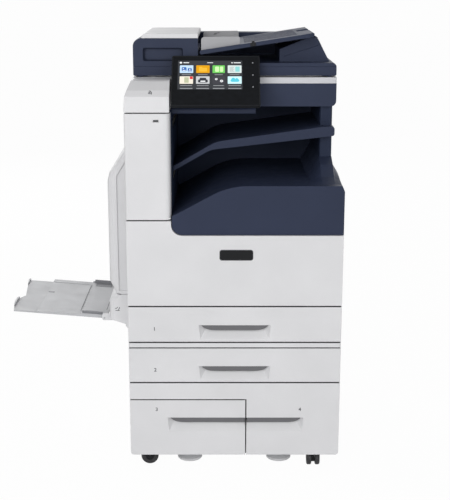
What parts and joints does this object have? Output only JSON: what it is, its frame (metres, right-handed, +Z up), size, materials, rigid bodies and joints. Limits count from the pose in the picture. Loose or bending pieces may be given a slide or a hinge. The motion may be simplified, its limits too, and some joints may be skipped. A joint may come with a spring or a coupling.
{
  "type": "floor-standing photocopier",
  "caption": "Floor-standing colour photocopier with paper drawers, side bypass tray, recessed output bay, tilting touch panel and a hinged document feeder on castors.",
  "frame": {"origin": "centre of the bounding box in plan, at the floor under the castors and levelling feet", "axes": "+X to the user's right, +Y away from the user towards the rear cover, +Z up"},
  "size_m": [0.8642, 0.6466, 1.1312],
  "materials": {
    "frame_steel": "satin",
    "cover_white": "fine texture",
    "cover_navy": "fine texture",
    "inner_grey": "matte",
    "bin_grey": "matte",
    "black_plastic": "matte",
    "rubber_black": "matte",
    "bypass_grey": "fine texture",
    "guide_grey": "matte",
    "bottle_white": "matte",
    "clear_glass": "polished",
    "panel_black": "gloss",
    "pad_white": "soft",
    "switch_white": "semi-gloss"
  },
  "bodies": {
    "machine": {"exit_bay_walls": "cover_navy", "exit_tray": "cover_navy", "inner_cover": "inner_grey", "levelling_feet": "black_plastic", "main_base": "cover_white", "main_frame": "frame_steel", "main_left_cover": "cover_white", "main_rear_cover": "cover_white", "main_right_cover": "cover_white", "module_covers": "cover_white", "module_frame": "frame_steel", "panel_neck": "cover_navy", "platen_glass": "clear_glass", "power_inlet": "black_plastic", "scanner_body": "cover_navy", "scanner_rim": "cover_white", "toner_cartridges": "black_plastic", "tower_cover": "cover_white", "tower_top_cover": "cover_white", "upper_exit_tray": "cover_navy", "waste_toner_bottle": "bottle_white"},
    "drawer_1": {"tray_1_front": "cover_white", "tray_1_bin": "bin_grey"},
    "drawer_2": {"tray_2_front": "cover_white", "tray_2_bin": "bin_grey"},
    "drawer_3": {"tray_3_front": "cover_white", "tray_3_bin": "bin_grey"},
    "drawer_4": {"tray_4_front": "cover_white", "tray_4_bin": "bin_grey"},
    "paper_guide_1_front": {"tray_1_guide_front": "guide_grey"},
    "paper_guide_1_rear": {"tray_1_guide_rear": "guide_grey"},
    "paper_guide_2_front": {"tray_2_guide_front": "guide_grey"},
    "paper_guide_2_rear": {"tray_2_guide_rear": "guide_grey"},
    "castor_front_left": {"castor_horn_front_left": "black_plastic"},
    "wheels_front_left": {"castor_wheels_front_left": "rubber_black"},
    "castor_front_right": {"castor_horn_front_right": "black_plastic"},
    "wheels_front_right": {"castor_wheels_front_right": "rubber_black"},
    "castor_rear_left": {"castor_horn_rear_left": "black_plastic"},
    "wheels_rear_left": {"castor_wheels_rear_left": "rubber_black"},
    "castor_rear_right": {"castor_horn_rear_right": "black_plastic"},
    "wheels_rear_right": {"castor_wheels_rear_right": "rubber_black"},
    "door_front": {"front_door": "cover_white"},
    "power_rocker": {"main_power_switch": "switch_white"},
    "rollers_lower": {"exit_rollers_lower": "rubber_black"},
    "rollers_upper": {"exit_rollers_upper": "rubber_black"},
    "door_side": {"side_door": "cover_white"},
    "bypass": {"bypass_tray": "bypass_grey"},
    "bypass_end": {"bypass_extension": "bypass_grey"},
    "bypass_stop_front": {"bypass_guide_front": "bypass_grey"},
    "bypass_stop_rear": {"bypass_guide_rear": "bypass_grey"},
    "carriage": {"scan_carriage": "inner_grey"},
    "lid": {"adf_base": "cover_navy", "platen_pad": "pad_white"},
    "feeder_cover": {"adf_top_cover": "cover_white"},
    "feed_rollers": {"adf_rollers": "rubber_black"},
    "original_tray": {"document_tray": "cover_navy"},
    "original_guide_front": {"document_guide_front": "guide_grey"},
    "original_guide_rear": {"document_guide_rear": "guide_grey"},
    "operation_panel": {"panel_housing": "black_plastic", "panel_glass": "panel_black"}
  },
  "joints": [
    {"name": "drawer_1_slide", "type": "slide", "parent": "machine", "child": "drawer_1", "axis": [0, -1, 0], "range_m": [0, 0.38]},
    {"name": "drawer_2_slide", "type": "slide", "parent": "machine", "child": "drawer_2", "axis": [0, -1, 0], "range_m": [0, 0.38]},
    {"name": "drawer_3_slide", "type": "slide", "parent": "machine", "child": "drawer_3", "axis": [0, -1, 0], "range_m": [0, 0.38]},
    {"name": "drawer_4_slide", "type": "slide", "parent": "machine", "child": "drawer_4", "axis": [0, -1, 0], "range_m": [0, 0.38]},
    {"name": "paper_guide_1_slide", "type": "slide", "parent": "drawer_1", "child": "paper_guide_1_front", "axis": [0, 1, 0], "range_m": [0, 0.074]},
    {"name": "paper_guide_1_rear_slide", "type": "slide", "parent": "drawer_1", "child": "paper_guide_1_rear", "axis": [0, 1, 0], "range_m": [-0.074, 0]},
    {"name": "paper_guide_2_slide", "type": "slide", "parent": "drawer_2", "child": "paper_guide_2_front", "axis": [0, 1, 0], "range_m": [0, 0.074]},
    {"name": "paper_guide_2_rear_slide", "type": "slide", "parent": "drawer_2", "child": "paper_guide_2_rear", "axis": [0, 1, 0], "range_m": [-0.074, 0]},
    {"name": "castor_front_left_swivel", "type": "hinge", "parent": "machine", "child": "castor_front_left", "pos_m": [-0.05044, -0.2573, 0.046], "axis": [0, 0, 1], "continuous": true},
    {"name": "castor_front_left_roll", "type": "hinge", "parent": "castor_front_left", "child": "wheels_front_left", "pos_m": [-0.06644, -0.2573, 0.023], "axis": [0, 1, 0], "continuous": true},
    {"name": "castor_front_right_swivel", "type": "hinge", "parent": "machine", "child": "castor_front_right", "pos_m": [0.36956, -0.2573, 0.046], "axis": [0, 0, 1], "continuous": true},
    {"name": "castor_front_right_roll", "type": "hinge", "parent": "castor_front_right", "child": "wheels_front_right", "pos_m": [0.36956, -0.2733, 0.023], "axis": [1, 0, 0], "continuous": true},
    {"name": "castor_rear_left_swivel", "type": "hinge", "parent": "machine", "child": "castor_rear_left", "pos_m": [-0.05044, 0.2557, 0.046], "axis": [0, 0, 1], "continuous": true},
    {"name": "castor_rear_left_roll", "type": "hinge", "parent": "castor_rear_left", "child": "wheels_rear_left", "pos_m": [-0.05044, 0.2717, 0.023], "axis": [1, 0, 0], "continuous": true},
    {"name": "castor_rear_right_swivel", "type": "hinge", "parent": "machine", "child": "castor_rear_right", "pos_m": [0.36956, 0.2557, 0.046], "axis": [0, 0, 1], "continuous": true},
    {"name": "castor_rear_right_roll", "type": "hinge", "parent": "castor_rear_right", "child": "wheels_rear_right", "pos_m": [0.38556, 0.2557, 0.023], "axis": [0, 1, 0], "continuous": true},
    {"name": "front_door_hinge", "type": "hinge", "parent": "machine", "child": "door_front", "pos_m": [0.15956, -0.3143, 0.4597], "axis": [1, 0, 0], "range_deg": [0, 90]},
    {"name": "power_rocker_pivot", "type": "hinge", "parent": "machine", "child": "power_rocker", "pos_m": [0.39356, -0.2833, 0.5037], "axis": [1, 0, 0], "range_deg": [-8, 8]},
    {"name": "exit_rollers_lower_spin", "type": "hinge", "parent": "machine", "child": "rollers_lower", "pos_m": [-0.00754, -0.0993, 0.769], "axis": [0, 1, 0], "continuous": true},
    {"name": "exit_rollers_upper_spin", "type": "hinge", "parent": "machine", "child": "rollers_upper", "pos_m": [-0.00754, -0.0993, 0.905], "axis": [0, 1, 0], "continuous": true},
    {"name": "side_door_hinge", "type": "hinge", "parent": "machine", "child": "door_side", "pos_m": [-0.10644, -0.0743, 0.38], "axis": [0, -1, 0], "range_deg": [0, 60]},
    {"name": "bypass_tray_hinge", "type": "hinge", "parent": "door_side", "child": "bypass", "pos_m": [-0.18244, -0.0743, 0.397], "axis": [0, 1, 0], "range_deg": [0, 84]},
    {"name": "bypass_extension_slide", "type": "slide", "parent": "bypass", "child": "bypass_end", "axis": [-0.9968, 0, 0.0802], "range_m": [-0.055, 0]},
    {"name": "bypass_guide_slide", "type": "slide", "parent": "bypass", "child": "bypass_stop_front", "axis": [0, 1, 0], "range_m": [0, 0.074]},
    {"name": "bypass_guide_rear_slide", "type": "slide", "parent": "bypass", "child": "bypass_stop_rear", "axis": [0, 1, 0], "range_m": [-0.074, 0]},
    {"name": "scan_carriage_slide", "type": "slide", "parent": "machine", "child": "carriage", "axis": [1, 0, 0], "range_m": [0, 0.42]},
    {"name": "lid_hinge", "type": "hinge", "parent": "machine", "child": "lid", "pos_m": [0.15956, 0.3017, 1.0359], "axis": [-1, 0, 0], "range_deg": [0, 60]},
    {"name": "feeder_cover_hinge", "type": "hinge", "parent": "lid", "child": "feeder_cover", "pos_m": [-0.08044, -0.0193, 1.1079], "axis": [0, -1, 0], "range_deg": [0, 70]},
    {"name": "feed_rollers_spin", "type": "hinge", "parent": "lid", "child": "feed_rollers", "pos_m": [0.03656, -0.0193, 1.1019], "axis": [0, 1, 0], "continuous": true},
    {"name": "original_tray_hinge", "type": "hinge", "parent": "lid", "child": "original_tray", "pos_m": [0.36656, -0.0353, 1.1094], "axis": [0, 1, 0], "range_deg": [0, 60]},
    {"name": "original_guide_slide", "type": "slide", "parent": "original_tray", "child": "original_guide_front", "axis": [0, 1, 0], "range_m": [0, 0.074]},
    {"name": "original_guide_rear_slide", "type": "slide", "parent": "original_tray", "child": "original_guide_rear", "axis": [0, 1, 0], "range_m": [-0.074, 0]},
    {"name": "operation_panel_tilt", "type": "hinge", "parent": "machine", "child": "operation_panel", "pos_m": [0.11156, -0.25913, 0.98507], "axis": [1, 0, 0], "range_deg": [-4, 40]}
  ],
  "couplings": [
    {"joint": "paper_guide_1_rear_slide", "follows": "paper_guide_1_slide", "ratio": -1},
    {"joint": "paper_guide_2_rear_slide", "follows": "paper_guide_2_slide", "ratio": -1},
    {"joint": "bypass_guide_rear_slide", "follows": "bypass_guide_slide", "ratio": -1},
    {"joint": "original_guide_rear_slide", "follows": "original_guide_slide", "ratio": -1}
  ]
}
